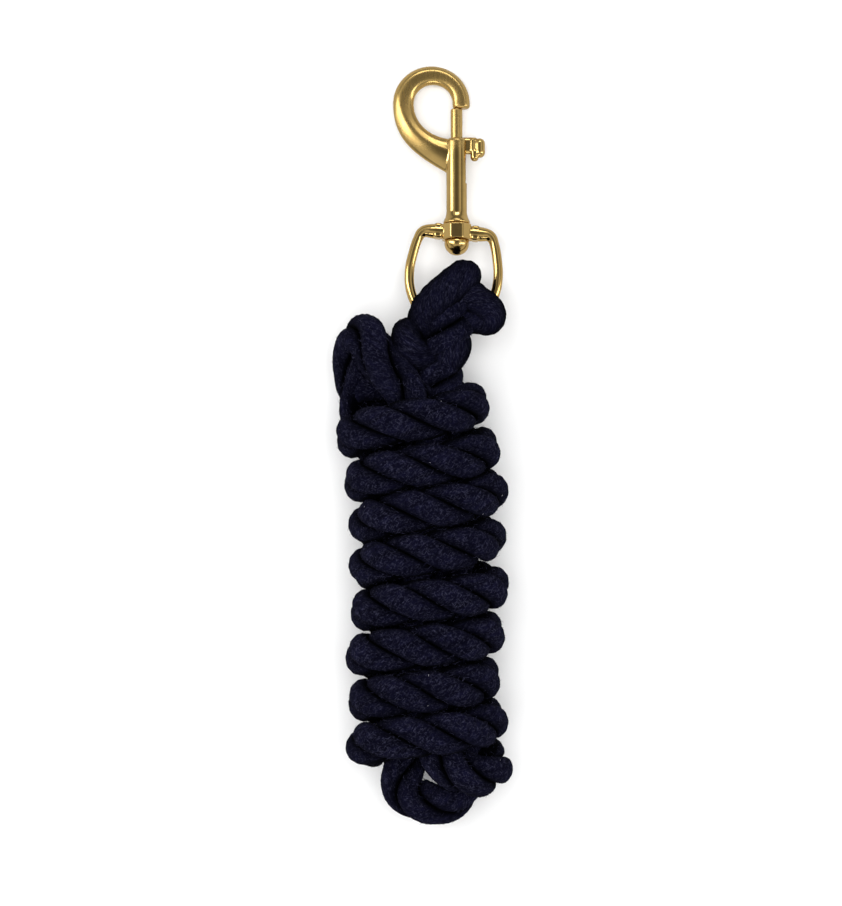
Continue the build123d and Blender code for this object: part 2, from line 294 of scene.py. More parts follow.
def lint_material():
    s = Shader("pale_lint")
    shade = s.noise(s.object_point(), 400.0, 1.0)
    colour = s.mix(shade, (0.25, 0.25, 0.32), (0.75, 0.74, 0.78))
    return s.finish(Base_Color=colour, Roughness=0.9)


def twine_material(settings):
    s = Shader("waxed_twine")
    fibres = s.noise(s.object_point(), 2500.0, 2.0)
    colour = s.mix(fibres, settings.twine_colour, settings.fibre_colour)
    return s.finish(Base_Color=colour, Roughness=0.6, Normal=s.bump(fibres, 0.5, 0.0003))


def brass(settings, name, roughness, wear, smoother_below=None):
    """Brass with faint cloudiness and fine scratches, smoother on the turned part below a place."""
    s = Shader(name)
    clouds = s.noise(s.object_point(), 90.0, 3.0, 0.6)
    scratches = s.noise(s.object_point((1, 0.05, 1)), 1500.0, 2.0, 0.6)
    grain = s.noise(s.object_point(), 380.0, 2.0, 0.5)
    colour = s.mix(s.ramp(clouds, 0.35, 0.75) * wear, settings.colour, settings.dull_colour)
    gloss = s.ramp(clouds, 0.3, 0.7, roughness * 0.85, roughness * 1.25)
    if smoother_below is not None:
        spot = s.node("ShaderNodeSeparateXYZ", {}, {0: s.object_point()}, 1)
        gloss = gloss * s.ramp(spot, smoother_below, smoother_below + 4 * MM, 0.42, 1.0)
    height = scratches * 0.5 + grain * 0.5
    return s.finish(
        Base_Color=colour,
        Metallic=1.0,
        Roughness=gloss + s.ramp(scratches, 0.5, 0.9, 0.0, 0.08),
        Normal=s.bump(height, 0.07, 0.00005),
    )


def spring_material(settings):
    s = Shader("spring_wire")
    clouds = s.noise(s.object_point(), 500.0, 2.0)
    gloss = s.ramp(clouds, 0.3, 0.7, 0.22, 0.38)
    return s.finish(Base_Color=settings.steel_colour, Metallic=1.0, Roughness=gloss)


def paint_node(name, material):
    """Gives a frame part its finish."""
    part = frame["nodes"][name]
    for slot in part.material_slots:
        slot.material = material
    if not part.material_slots:
        part.data.materials.append(material)


# ---- route and strands
def turn_points(settings):
    """Points of the turns round the core, at least 12 for each turn."""
    points = []
    half = 7
    middle = 0.5 * (settings.hank_top + settings.hank_bottom)
    reach = 0.5 * (settings.hank_top - settings.hank_bottom)
    corner = 0.85
    for number, (start, end) in enumerate(zip(TURN_EDGES, TURN_EDGES[1:])):
        up = 1 - 2 * (number % 2)
        start_x = start[0] + up * settings.turn_inset
        end_x = end[0] - up * settings.turn_inset
        for step in range(half):
            angle = math.pi * step / half
            swing = math.copysign(abs(math.cos(angle)) ** corner, math.cos(angle))
            x = start_x + (end_x - start_x) * (0.5 * (1 - swing))
            y = start[1] + (end[1] - start[1]) * step / half
            z = middle + up * reach * math.sin(angle) ** corner
            points.append((x, y, z))
    return points


def mesh_of_curve(curve):
    """The curve's shape as a mesh, in place of the curve."""
    holder = bpy.data.objects.new(curve.name, curve)
    data = bpy.data.meshes.new_from_object(holder)
    bpy.data.objects.remove(holder)
    bpy.data.curves.remove(curve)
    return data


def route_line(points, step):
    """Evenly spaced points on the smooth line that the route's points pull."""
    curve = bpy.data.curves.new("route", "CURVE")
    curve.dimensions = "3D"
    curve.resolution_u = 16
    spline = curve.splines.new("NURBS")
    spline.points.add(len(points) - 1)
    for control, place in zip(spline.points, points):
        control.co = (*place, 1)
    spline.order_u = 3
    spline.use_endpoint_u = True
    mesh = mesh_of_curve(curve)
    places = np.array([v.co[:] for v in mesh.vertices])
    bpy.data.meshes.remove(mesh)
    gaps = np.linalg.norm(np.diff(places, axis=0), axis=1)
    keep = np.concatenate([[True], gaps > 1e-7])
    places = places[keep]
    along = np.concatenate([[0], np.cumsum(np.linalg.norm(np.diff(places, axis=0), axis=1))])
    count = max(4, int(round(along[-1] / step)) + 1)
    wanted = np.linspace(0, along[-1], count)
    line = np.column_stack([np.interp(wanted, along, places[:, k]) for k in range(3)])
    return line, wanted


def carried_frames(line):
    """Two directions across the line that turn with it and never twist about it."""
    tangents = np.gradient(line, axis=0)
    tangents /= np.linalg.norm(tangents, axis=1)[:, None]
    first = np.zeros_like(line)
    across = np.cross(tangents[0], (0.0, 0.0, 1.0))
    first[0] = across / np.linalg.norm(across)
    for i in range(1, len(line)):
        carried = first[i - 1] - tangents[i] * np.dot(first[i - 1], tangents[i])
        first[i] = carried / np.linalg.norm(carried)
    second = np.cross(tangents, first)
    return tangents, first, second


def way_out(first, second, row, turn):
    """The direction across the line that lies a turn round it."""
    return np.cos(turn)[:, None] * first[row] + np.sin(turn)[:, None] * second[row]


def finished(mesh, data):
    """Puts a built mesh into its data with smooth faces that face outward."""
    bmesh.ops.recalc_face_normals(mesh, faces=mesh.faces)
    for face in mesh.faces:
        face.smooth = True
    mesh.to_mesh(data)
    mesh.free()
    return data


def plain_pattern(row, turn):
    return np.column_stack([turn * MM, row * MM])


# No painted shade: the whole tube keeps its full colour.
def evenly_lit(row, turn):
    return np.ones(len(row))


def sweep_section(name, line, around, section_at, yarn_at=plain_pattern, light_at=evenly_lit):
    """A closed tube along a line. section_at gives the girth's points, yarn_at their pattern place."""
    rows = len(line)
    mesh = bmesh.new()
    mesh.loops.layers.uv.new("yarn")
    mesh.loops.layers.uv.new("crease_shade")
    bmesh.ops.create_grid(mesh, x_segments=around, y_segments=rows - 1, size=0.5)
    data = bpy.data.meshes.new(name)
    mesh.to_mesh(data)
    mesh.free()
    flat = np.empty(len(data.vertices) * 3)
    data.vertices.foreach_get("co", flat)
    flat = flat.reshape(-1, 3)
    column = np.rint((flat[:, 0] - flat[:, 0].min()) / np.ptp(flat[:, 0]) * around).astype(int)
    row = np.rint((flat[:, 1] - flat[:, 1].min()) / np.ptp(flat[:, 1]) * (rows - 1)).astype(int)
    turn = -math.pi + 2 * math.pi * column / around
    shut = np.where(column == around, -math.pi, turn)
    data.vertices.foreach_set("co", section_at(row, shut).ravel())
    corners = np.empty(len(data.loops), dtype=int)
    data.loops.foreach_get("vertex_index", corners)
    # The second layer carries painted shade: 1 where the colour keeps its full brightness, 0 where it is
    # painted darkest.
    crease_shade = np.column_stack([light_at(row, turn), row / rows])
    for layer, pattern in (("yarn", yarn_at(row, turn)), ("crease_shade", crease_shade)):
        data.uv_layers[layer].data.foreach_set("uv", pattern[corners].ravel())
    data.update()
    mesh = bmesh.new()
    mesh.from_mesh(data)
    bmesh.ops.remove_doubles(mesh, verts=mesh.verts, dist=1e-6)
    rims = [e for e in mesh.edges if e.is_boundary]
    bmesh.ops.holes_fill(mesh, edges=rims, sides=0)
    return finished(mesh, data)


def round_tube(name, points, step, radius_at, around):
    """A round tube on the line that points pull. radius_at gives its radius along the line."""
    line, along = route_line(points, step)
    _, first, second = carried_frames(line)
    radius = radius_at(along)

    def section(row, turn):
        return line[row] + radius[row, None] * way_out(first, second, row, turn)

    return sweep_section(name, line, around, section)


def linked(name, data):
    """A new object in the scene."""
    thing = bpy.data.objects.new(name, data)
    bpy.context.scene.collection.objects.link(thing)
    return thing


def add_piece(name, data, material, body):
    """Puts a finished mesh in the scene on its body."""
    piece = linked(name, data)
    data.materials.append(material)
    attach(piece, body)
    return piece


def wave(values, seed, length):
    """A smooth uneven number between about -1 and 1 along a length."""
    total = np.zeros_like(values, dtype=float)
    for k in range(1, 5):
        angle = values * 2 * math.pi / length * (0.6 + 0.37 * k) + seed * 2.1 * k
        total += math.cos(seed * k) * np.sin(angle)
    return total / 2.2


class LaidRope:
    """The rope's line with the shape of its three strands."""

    def __init__(self, settings, points):
        self.settings = settings
        self.line, self.along = route_line(points, ROW_STEP)
        self.tangent, self.first, self.second = carried_frames(self.line)
        self.radius = settings.diameter / 2
        self.centre_radius = 0.56 * self.radius
        self.half_sector = math.radians(56)
        self.deep = 0.47 * self.radius
        past_neck = np.clip((self.along - settings.neck_length) / (0.4 * settings.neck_length), 0, 1)
        past_neck = past_neck * past_neck * (3 - 2 * past_neck)
        lay = settings.neck_lay_length + (settings.lay_length - settings.neck_lay_length) * past_neck
        in_arch = (self.line[:, 1] > 0.024) & (self.line[:, 0] < -0.010) & (past_neck > 0)
        lay = np.where(in_arch, 2.0 * lay, lay)
        step = self.along[1] - self.along[0]
        self.twist = np.cumsum(2 * math.pi * step / lay) + settings.lay_start
        self.settle_crowns()
        self.girth = settings.neck_girth + (1 - settings.neck_girth) * past_neck
        at_bar = np.clip((0.66 * settings.neck_length - self.along) / (0.12 * settings.neck_length), 0, 1)
        self.girth = self.girth + (settings.eye_girth - self.girth) * at_bar
        self.outward, self.on_turn = self.turns_round_core()
        self.squeeze = self.on_turn * (1 - settings.flattening)

    def turns_round_core(self):
        """The way out from the core along the rope, and where the rope lies in a turn round it."""
        s = self.settings
        middle_z = 0.5 * (s.hank_top + s.hank_bottom)
        half_x = 0.025
        half_z = 0.5 * (s.hank_top - s.hank_bottom)
        dx = self.line[:, 0] - 0.0015
        dz = self.line[:, 2] - middle_z
        out = np.hypot(dx / half_x, dz / half_z)
        inside = (self.line[:, 1] < 0.022) & (self.line[:, 1] > -0.137)
        share = np.clip((out - 0.7) / 0.2, 0, 1) * inside
        kernel = np.ones(15) / 15
        share = np.convolve(share, kernel, mode="same")
        direction = np.column_stack([dx / half_x ** 2, np.zeros_like(dx), dz / half_z ** 2])
        direction /= np.maximum(np.linalg.norm(direction, axis=1), 1e-9)[:, None]
        return direction, share

    def settle_crowns(self):
        """Turns the strands a little, so that crowns lie at their given places."""
        third = 2 * math.pi / 3
        rows = [0]
        turns = [0.0]
        on_turns = [((x, y, TURN_CROWN_HEIGHT), (0, 0, 1)) for x, y in TURN_CROWNS]
        for place, direction in [ARCH_CROWN, *on_turns]:
            row = int(np.argmin(np.linalg.norm(self.line - np.array(place), axis=1)))
            wanted = math.atan2(np.dot(direction, self.second[row]), np.dot(direction, self.first[row]))
            have = self.twist[row] + turns[-1]
            rows.append(row)
            turns.append(turns[-1] + (wanted - have + third / 2) % third - third / 2)
        self.twist += np.interp(np.arange(len(self.twist)), rows, turns)

    def place(self, strand, row, turn, lift=0.0):
        """Points on a strand's skin, lifted off it by a distance."""
        angle = self.twist[row] + 2 * math.pi * strand / 3
        out = way_out(self.first, self.second, row, angle)
        side = -np.sin(angle)[:, None] * self.first[row] + np.cos(angle)[:, None] * self.second[row]
        along = self.along[row]
        plump = 1 + 0.05 * wave(along, 1.7 + strand, 23 * MM)
        plump += 0.022 * wave(along + turn * MM, 4.1 + strand, 7 * MM)
        plump += 0.012 * wave(along - 2.3 * turn * MM, 7.7 + strand, 2.6 * MM)
        ridge = RIDGE_HEIGHT * np.cos(RIDGES * (turn + YARN_TWIST * along))
        flat = self.outward[row]
        crown = self.on_turn[row] * np.clip(np.sum(out * flat, axis=1), 0, 1) ** 2
        plump *= 1 + (0.26 * crown - 0.10) * self.on_turn[row]
        inner = np.where(np.cos(turn) < 0, 0.72, 1.0)
        deep = self.deep * plump * inner + ridge + lift
        reach = self.centre_radius + deep * np.sign(np.cos(turn)) * np.abs(np.cos(turn)) ** 0.9
        lean = self.half_sector * (1 + 0.10 * crown) * np.sin(turn)
        offset = (reach * np.cos(lean))[:, None] * out + (reach * np.sin(lean))[:, None] * side
        offset -= flat * (np.sum(offset * flat, axis=1) * self.squeeze[row])[:, None]
        offset *= self.girth[row][:, None]
        places = self.line[row] + offset
        soft = 1.5 * MM
        floor = 0.35 * MM + lift
        low = places[:, 2] < floor + soft
        places[low, 2] = floor + soft * np.exp((places[low, 2] - floor - soft) / soft)
        return places

    def crease_light(self, strand, row, turn):
        """The mask for painted shade: 1 on a crown, falling to 0 in the creases between strands and between
        turns.
        """
        skin = self.place(strand, row, turn) - self.line[row]
        skin /= np.linalg.norm(skin, axis=1)[:, None]
        facing = np.clip((np.sum(skin * self.outward[row], axis=1) - 0.05) / 0.6, 0, 1)
        between_turns = 1 - self.on_turn[row] * (1 - facing)
        return 0.5 + 0.5 * np.minimum(np.cos(turn), between_turns)

    def yarn(self, strand, row, turn):
        """A place in metres for the yarn pattern: across, along."""
        girth = 0.55 * self.radius
        across = (turn + YARN_TWIST * self.along[row]) * girth + 0.11 * strand
        return np.column_stack([across, self.along[row]])


ROW_STEP = 1.25 * MM
RIDGES = 14
RIDGE_HEIGHT = 0.13 * MM
YARN_TWIST = 2 * math.pi / (40 * MM)
GIRTH_STEPS = 56


# Thickness of each strand of the eye splice that shows, with its route.
TUCKS = {
    "neck_strand_left": (13.0 * MM, [
        (0.0080, 0.0380, 0.0220), (-0.0020, 0.0450, 0.0240), (-0.0066, 0.0460, 0.0320),
        (-0.0062, 0.0400, 0.0390), (-0.0010, 0.0350, 0.0370), (0.0070, 0.0340, 0.0290),
    ]),
    "neck_strand_right": (13.0 * MM, [
        (0.0030, 0.0330, 0.0250), (0.0100, 0.0420, 0.0270), (0.0145, 0.0425, 0.0330),
        (0.0120, 0.0360, 0.0370), (0.0060, 0.0290, 0.0340),
    ]),
    "neck_strand_ring": (12.6 * MM, [
        (0.0130, 0.0670, 0.0310), (0.0205, 0.0600, 0.0350), (0.0280, 0.0550, 0.0350),
        (0.0280, 0.0500, 0.0335), (0.0200, 0.0520, 0.0310), (0.0120, 0.0510, 0.0290),
    ]),
    "neck_strand_cross": (14.0 * MM, [
        (0.0080, 0.0460, 0.0260), (0.0000, 0.0480, 0.0290), (0.0020, 0.0560, 0.0365),
        (0.0110, 0.0640, 0.0390), (0.0190, 0.0700, 0.0345), (0.0180, 0.0690, 0.0250),
    ]),
}


# ---- operators
# Each softbox: place, width and length, power, and whether the brass mirrors it.
LAMPS = {
    "left_softbox": ((-1.5, 0.5, 1.4), (0.6, 1.9), 17.0, True),
    "right_softbox": ((1.6, 0.1, 1.3), (0.4, 1.9), 10.0, True),
    "far_softbox": ((0.2, 1.9, 1.5), (1.4, 0.4), 8.0, True),
    "near_softbox": ((-0.1, -1.8, 1.5), (1.4, 0.4), 8.0, True),
    "overhead_scrim": ((0.0, 0.0, 2.6), (1.5, 1.5), 42.0, False),
}
# The room's grey from straight down at 0 to straight up at 1.
ROOM_LIGHT = [
    (0.0, 0.65), (0.30, 0.50), (0.50, 0.17), (0.60, 0.20),
    (0.72, 0.68), (0.86, 0.56), (0.94, 0.22), (1.0, 0.12),
]


class LEADROPE_OT_stage(bpy.types.Operator):
    """Set up the camera, the floor and the soft lights"""

    bl_idname = "leadrope.stage"
    bl_label = "Stage"

    def execute(self, context):
        settings = context.scene.lead_rope_stage
        self.add_camera(context, settings)
        self.add_floor(context, settings)
        self.add_lights(context)
        return {"FINISHED"}

    def add_camera(self, context, settings):
        data = bpy.data.cameras.new("camera")
        data.sensor_width = 36.0
        data.lens = 36.0 * (settings.distance - settings.middle_height) / settings.view_height
        data.clip_end = 20
        camera = linked("camera", data)
        camera.location = (settings.view_x, settings.view_y, settings.distance)
        context.scene.camera = camera

    def add_floor(self, context, settings):
        mesh = bmesh.new()
        bmesh.ops.create_grid(mesh, x_segments=1, y_segments=1, size=3.0)
        data = bpy.data.meshes.new("floor")
        mesh.to_mesh(data)
        mesh.free()
        floor = linked("floor", data)
        s = Shader("floor_paper")
        grain = s.noise(s.object_point(), 30.0, 2.0)
        tint = s.mix(grain, settings.floor_colour, tuple(0.99 * c for c in settings.floor_colour))
        data.materials.append(s.finish(Base_Color=tint, Roughness=0.9, Specular_IOR_Level=0.1))
        floor.visible_glossy = False

    def add_lights(self, context):
        for name, (place, size, power, mirrored) in LAMPS.items():
            data = bpy.data.lights.new(name, "AREA")
            data.shape = "RECTANGLE"
            data.size = size[0]
            data.size_y = size[1]
            data.energy = power
            lamp = linked(name, data)
            lamp.location = place
            lamp.rotation_euler = (-Vector(place)).to_track_quat("-Z", "Y").to_euler()
            lamp.visible_glossy = mirrored
        self.add_room(context)
        context.scene.view_settings.view_transform = "Standard"

    def add_room(self, context):
        """A softly lit room: grey overhead, brighter walls, dark near the floor."""
        world = bpy.data.worlds.new("studio")
        world.use_nodes = True
        tree = world.node_tree
        place = tree.nodes.new("ShaderNodeTexCoord")
        split = tree.nodes.new("ShaderNodeSeparateXYZ")
        ramp = tree.nodes.new("ShaderNodeValToRGB")
        while len(ramp.color_ramp.elements) < len(ROOM_LIGHT):
            ramp.color_ramp.elements.new(0.5)
        for element, (height, light) in zip(ramp.color_ramp.elements, ROOM_LIGHT):
            element.position = height
            element.color = (light, light, light, 1)
        lean = tree.nodes.new("ShaderNodeMapping")
        lean.inputs["Rotation"].default_value = (math.radians(18), 0, 0)
        tree.links.new(place.outputs["Generated"], lean.inputs[0])
        tree.links.new(lean.outputs[0], split.inputs[0])
        tree.links.new(split.outputs["Z"], ramp.inputs[0])
        tree.links.new(ramp.outputs[0], tree.nodes["Background"].inputs["Color"])
        context.scene.world = world


class LEADROPE_OT_rope(bpy.types.Operator):
    """Lay the three strands along the rope's route, with their loose fibres"""

    bl_idname = "leadrope.rope"
    bl_label = "Rope"

    def execute(self, context):
        settings = context.scene.lead_rope
        rope = LaidRope(settings, CORE_ROUTE + turn_points(settings) + TAIL_ROUTE)
        material = cotton(settings)
        for number, word in enumerate(("first", "second", "third")):
            looks = [partial(look, number) for look in (rope.place, rope.yarn, rope.crease_light)]
            data = sweep_section(f"{word}_strand", rope.line, GIRTH_STEPS, *looks)
            add_piece(f"{word}_strand", data, material, "rope")
        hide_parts("rope_hank", "rope_eye", "rope_top_bight", "rope_bottom_bight", "rope_tail")
        extras = [
            self.add_hairs(settings, rope, "lying_fibres", 11, 0.6),
            self.add_hairs(settings, rope, "standing_fibres", 12, 1.6),
            self.add_lint(settings, rope),
        ]
        whipping = self.add_whipping(settings, rope)
        [tuple(p) for p in rope.line[::2]]
        return {"FINISHED"}

    def fibre_piece(self, name, lines, thickness, material):
        """Many short tapering fibres as one mesh."""
        curve = bpy.data.curves.new(name, "CURVE")
        curve.dimensions = "3D"
        curve.bevel_depth = thickness
        curve.bevel_resolution = 0
        curve.use_fill_caps = True
        for points in lines:
            spline = curve.splines.new("POLY")
            spline.points.add(len(points) - 1)
            for k, (control, place) in enumerate(zip(spline.points, points)):
                control.co = (*place, 1)
                control.radius = 1.0 - 0.75 * k / (len(points) - 1)
        data = mesh_of_curve(curve)
        data.name = name
        return add_piece(name, data, material, "rope")

    def any_spot(self, rng, rope, reach):
        """A strand, a row and a turn on its skin, drawn at random."""
        row = np.array([rng.randrange(4, len(rope.line) - 4)])
        strand = rng.randrange(3)
        return strand, row, np.array([rng.uniform(-reach, reach)])

    def add_hairs(self, settings, rope, name, seed, stand):
        """Short loose fibres; the higher they stand, the shorter they are."""
        rng = random.Random(seed)
        lines = []
        while len(lines) < settings.hairs:
            strand, row, turn = self.any_spot(rng, rope, 1.25)
            root = Vector(rope.place(strand, row, turn, -0.05 * MM)[0])
            over = Vector(rope.place(strand, row, turn, 1.0 * MM)[0])
            normal = (over - root).normalized()
            along = Vector(rope.tangent[row[0]]) * rng.choice((-1, 1))
            side = normal.cross(along)
            length = rng.uniform(0.9, 2.5) * MM / (0.7 + 0.5 * stand)
            drift = rng.uniform(-1.0, 1.0)
            heading = (normal * stand * rng.uniform(0.3, 1.0) + along + side * drift).normalized()
            curl = (side * rng.uniform(-0.5, 0.5) - normal * rng.uniform(0.1, 0.7)) * 0.6
            middle = root + (heading + curl * 0.5) * length * 0.5
            tip = root + (heading + curl) * length
            if min(middle.z, tip.z) < 0.4 * MM:
                continue
            lines.append((root, middle, tip))
        return self.fibre_piece(name, lines, 0.06 * MM, hair_material(settings))

    def add_lint(self, settings, rope):
        rng = random.Random(5)
        lines = []
        while len(lines) < settings.lint:
            strand, row, turn = self.any_spot(rng, rope, 1.2)
            root = Vector(rope.place(strand, row, turn, 0.05 * MM)[0])
            if root.z < 2 * MM:
                continue
            way = Vector([rng.uniform(-1, 1) for _ in range(3)]).normalized() * rng.uniform(0.15, 0.5) * MM
            bend = Vector([rng.uniform(-1, 1) for _ in range(3)]) * 0.15 * MM
            lines.append([root - way, root + bend, root + way])
        return self.fibre_piece("lint_specks", lines, 0.09 * MM, lint_material())

    def add_whipping(self, settings, rope):
        """Turns of twine round the rope's free end."""
        turns = 9
        pitch = 0.95 * MM
        points = []
        for step in range(turns * 12 + 1):
            share = step / 12
            row = len(rope.line) - 1 - int(round((1.0 * MM + share * pitch) / ROW_STEP))
            angle = 2 * math.pi * share
            out = math.cos(angle) * rope.first[row] + math.sin(angle) * rope.second[row]
            points.append(tuple(rope.line[row] + out * (rope.radius * 0.98)))
        thick = 0.5 * MM
        data = round_tube("end_whipping_twine", points, 0.9 * MM, lambda along: np.full_like(along, thick), 8)
        piece = add_piece("end_whipping_twine", data, twine_material(settings), "rope")
        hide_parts("end_whipping")
        return piece


class LEADROPE_OT_splice(bpy.types.Operator):
    """Tuck the strands of the eye splice into the neck"""

    bl_idname = "leadrope.splice"
    bl_label = "Splice"

    def execute(self, context):
        settings = context.scene.lead_rope
        material = cotton(settings, "dyed_cotton_tucks")
        stands_for = {
            "neck_strand_left": "splice_tuck_left",
            "neck_strand_right": "splice_tuck_right",
            "neck_strand_ring": "splice_tuck_ring",
        }
        for name, (diameter, points) in TUCKS.items():
            data = self.tucked_strand(name, diameter, points)
            piece = add_piece(name, data, material, "rope")
            if name in stands_for:
                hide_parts(stands_for[name])
        return {"FINISHED"}

    def tucked_strand(self, name, diameter, points):
        """One unlaid strand that tapers where it dives under its neighbours."""
        line, along = route_line(points, 0.6 * MM)
        _, first, second = carried_frames(line)
        share = along / along[-1]
        taper = 0.55 + 0.45 * np.clip(np.sin(math.pi * share) * 1.7, 0, 1)

        def section(row, turn):
            ridge = RIDGE_HEIGHT * np.cos(RIDGES * (turn + YARN_TWIST * along[row]))
            plump = 1 + 0.03 * wave(along[row] + turn * MM, diameter * 900, 9 * MM)
            reach = 0.5 * diameter * taper[row] * plump + ridge
            return line[row] + reach[:, None] * way_out(first, second, row, turn)

        def pattern(row, turn):
            return np.column_stack([(turn + YARN_TWIST * along[row]) * 0.5 * diameter, along[row]])

        def light_at(row, turn):
            """Painted shade: darker on the faces that turn downward, full colour on those that face up."""
            return 0.5 + 0.5 * (np.cos(turn) * first[row, 2] + np.sin(turn) * second[row, 2])

        return sweep_section(name, line, GIRTH_STEPS, section, pattern, light_at)


def snap_place():
    """The snap's axis, and the way from snap sizes (across, along, out of its face) to the shared frame."""
    joints = {joint["name"]: joint for joint in frame["joints"]}
    bar = Vector(joints["ring_tilt"]["pos_m"])
    swivel = Vector(joints["snap_swivel"]["pos_m"])
    along = Vector(joints["snap_swivel"]["axis"]).normalized()
    across = Vector((1, 0, 0))
    turn = Matrix((across, along, across.cross(along))).transposed().to_4x4()
    return along, Matrix.Translation(bar + across * (swivel - bar).dot(across)) @ turn


RING_HEIGHT = 33.2 * MM
RING_LEAN = math.radians(4)
BOSS_LOW = 29.9 * MM
BOSS_HIGH = 36.5 * MM
BARREL_LOW = 36.58 * MM
BARREL_HIGH = 72.88 * MM
BARREL_RADIUS = 4.3 * MM
BORE_RADIUS = 2.5 * MM
SHOULDER_RADIUS = 5.7 * MM
NOSE_LOW = 85.58 * MM
HOOK_MIDDLE = 87.78 * MM
HOOK_HALF = 2.8 * MM
SLOT_LOW = 54.03 * MM
SLOT_HALF = 1.85 * MM
STUD_LOW = 66.28 * MM
STUD_HIGH = 73.48 * MM
RIVET_FACE = 29.82 * MM


def smooth_steps(low, high, value):
    share = min(max((value - low) / (high - low), 0), 1)
    return share * share * (3 - 2 * share)


def bezier(points, share):
    """A point on a cubic curve."""
    a, b, c, d = (Vector(p) for p in points)
    rest = 1 - share
    return a * rest ** 3 + b * (3 * rest ** 2 * share) + c * (3 * rest * share ** 2) + d * share ** 3


def hook_edge(radius, centre, arc_share, tail, t):
    """A point on one edge of the hook, from its nose at 0 to its root at 1."""
    nose = 0.06
    if t < nose:
        return Vector((centre + radius, NOSE_LOW + (HOOK_MIDDLE - NOSE_LOW) * t / nose))
    if t < arc_share:
        angle = math.pi * (t - nose) / (arc_share - nose)
        return Vector((centre + radius * math.cos(angle), HOOK_MIDDLE + radius * math.sin(angle)))
    return bezier(tail, (t - arc_share) / (1 - arc_share))


def hook_height(share, t):
    """How far the hook's face stands out, from its mouth side at 0 to its back at 1."""
    root = smooth_steps(0.50, 0.72, t)
    inner = 0.30 - 0.02 * root
    crest = 0.66 - 0.28 * root
    if share < inner:
        rise = 1 - (1 - share / inner) ** 2.4
        return 0.34 + 0.58 * rise ** 0.75
    if share < crest:
        return 0.92 + 0.08 * (share - inner) / (crest - inner)
    fall = (share - crest) / (1 - crest)
    return 1 - (0.62 - 0.02 * root) * fall ** (2.3 - 0.7 * root)


def hook_band():
    """The hook as one band bent round the mouth, crowned on both faces."""
    back_tail = [(-26.3, 87.78), (-26.3, 71.8), (-16.7, 65.5), (-1.6, 57.0)]
    mouth_tail = [(-17.7, 87.78), (-17.7, 78.8), (-9.9, 72.9), (-1.6, 72.8)]
    back_tail = [Vector(p) * MM for p in back_tail]
    mouth_tail = [Vector(p) * MM for p in mouth_tail]
    rows = 220

    def section(row, turn):
        places = np.empty((len(row), 3))
        for k in range(len(row)):
            t = row[k] / (rows - 1)
            inner = hook_edge(8.0 * MM, -9.7 * MM, 0.56, mouth_tail, t)
            outer = hook_edge(15.9 * MM, -10.4 * MM, 0.56, back_tail, t)
            share = 0.5 * (1 - math.cos(turn[k]))
            nose = 0.70 + 0.30 * math.sqrt(1 - (1 - min(t / 0.03, 1)) ** 2)
            edge = inner.lerp(outer, 0.5 + (share - 0.5) * nose)
            side = 1 if math.sin(turn[k]) >= 0 else -1
            lift = nose * abs(math.sin(turn[k])) ** 0.35
            places[k] = (edge.x, edge.y, side * HOOK_HALF * hook_height(share, t) * lift)
        return places

    return sweep_section("hook_band", np.zeros((rows, 3)), 48, section)


def lathe(profile, steps=64):
    """A solid of revolution about the snap's axis from (radius, station) points."""
    mesh = bmesh.new()
    verts = [mesh.verts.new((radius, station, 0)) for radius, station in profile]
    edges = [mesh.edges.new(pair) for pair in zip(verts, verts[1:] + verts[:1])]
    bmesh.ops.spin(
        mesh, geom=verts + edges, cent=(0, 0, 0), axis=(0, 1, 0), dvec=(0, 0, 0),
        angle=2 * math.pi, steps=steps, use_merge=True, use_duplicate=False,
    )
    bmesh.ops.remove_doubles(mesh, verts=mesh.verts, dist=1e-7)
    bmesh.ops.dissolve_degenerate(mesh, edges=mesh.edges, dist=1e-7)
    bmesh.ops.recalc_face_normals(mesh, faces=mesh.faces)
    return mesh


def round_edges(mesh, offset, segments):
    bmesh.ops.bevel(
        mesh, geom=mesh.edges[:], offset=offset, segments=segments, affect="EDGES", profile=0.5, material=-1
    )


def rounded_block(size, place, edge):
    """A box with rounded edges."""
    mesh = bmesh.new()
    bmesh.ops.create_cube(mesh, size=1)
    bmesh.ops.scale(mesh, vec=size, verts=mesh.verts)
    round_edges(mesh, edge, 3)
    bmesh.ops.translate(mesh, vec=place, verts=mesh.verts)
    return mesh


def pin(radius, low, high, place, rounding):
    """A round pin along the snap's axis with rounded ends."""
    profile = [(0, low)]
    bends = [math.pi / 2 * step / 6 for step in range(7)]
    for angle in bends:
        profile.append((radius - rounding * (1 - math.sin(angle)), low + rounding * (1 - math.cos(angle))))
    for angle in bends:
        profile.append((radius - rounding * (1 - math.cos(angle)), high - rounding * (1 - math.sin(angle))))
    profile.append((0, high))
    mesh = lathe(profile, 32)
    bmesh.ops.translate(mesh, vec=place, verts=mesh.verts)
    return mesh


def to_object(name, mesh):
    data = bpy.data.meshes.new(name)
    mesh.to_mesh(data)
    mesh.free()
    return linked(name, data)


def applied(piece):
    """The piece's mesh with its modifiers made final, in place of the piece."""
    graph = bpy.context.evaluated_depsgraph_get()
    data = bpy.data.meshes.new_from_object(piece.evaluated_get(graph))
    bpy.data.meshes.remove(piece.data)
    return data


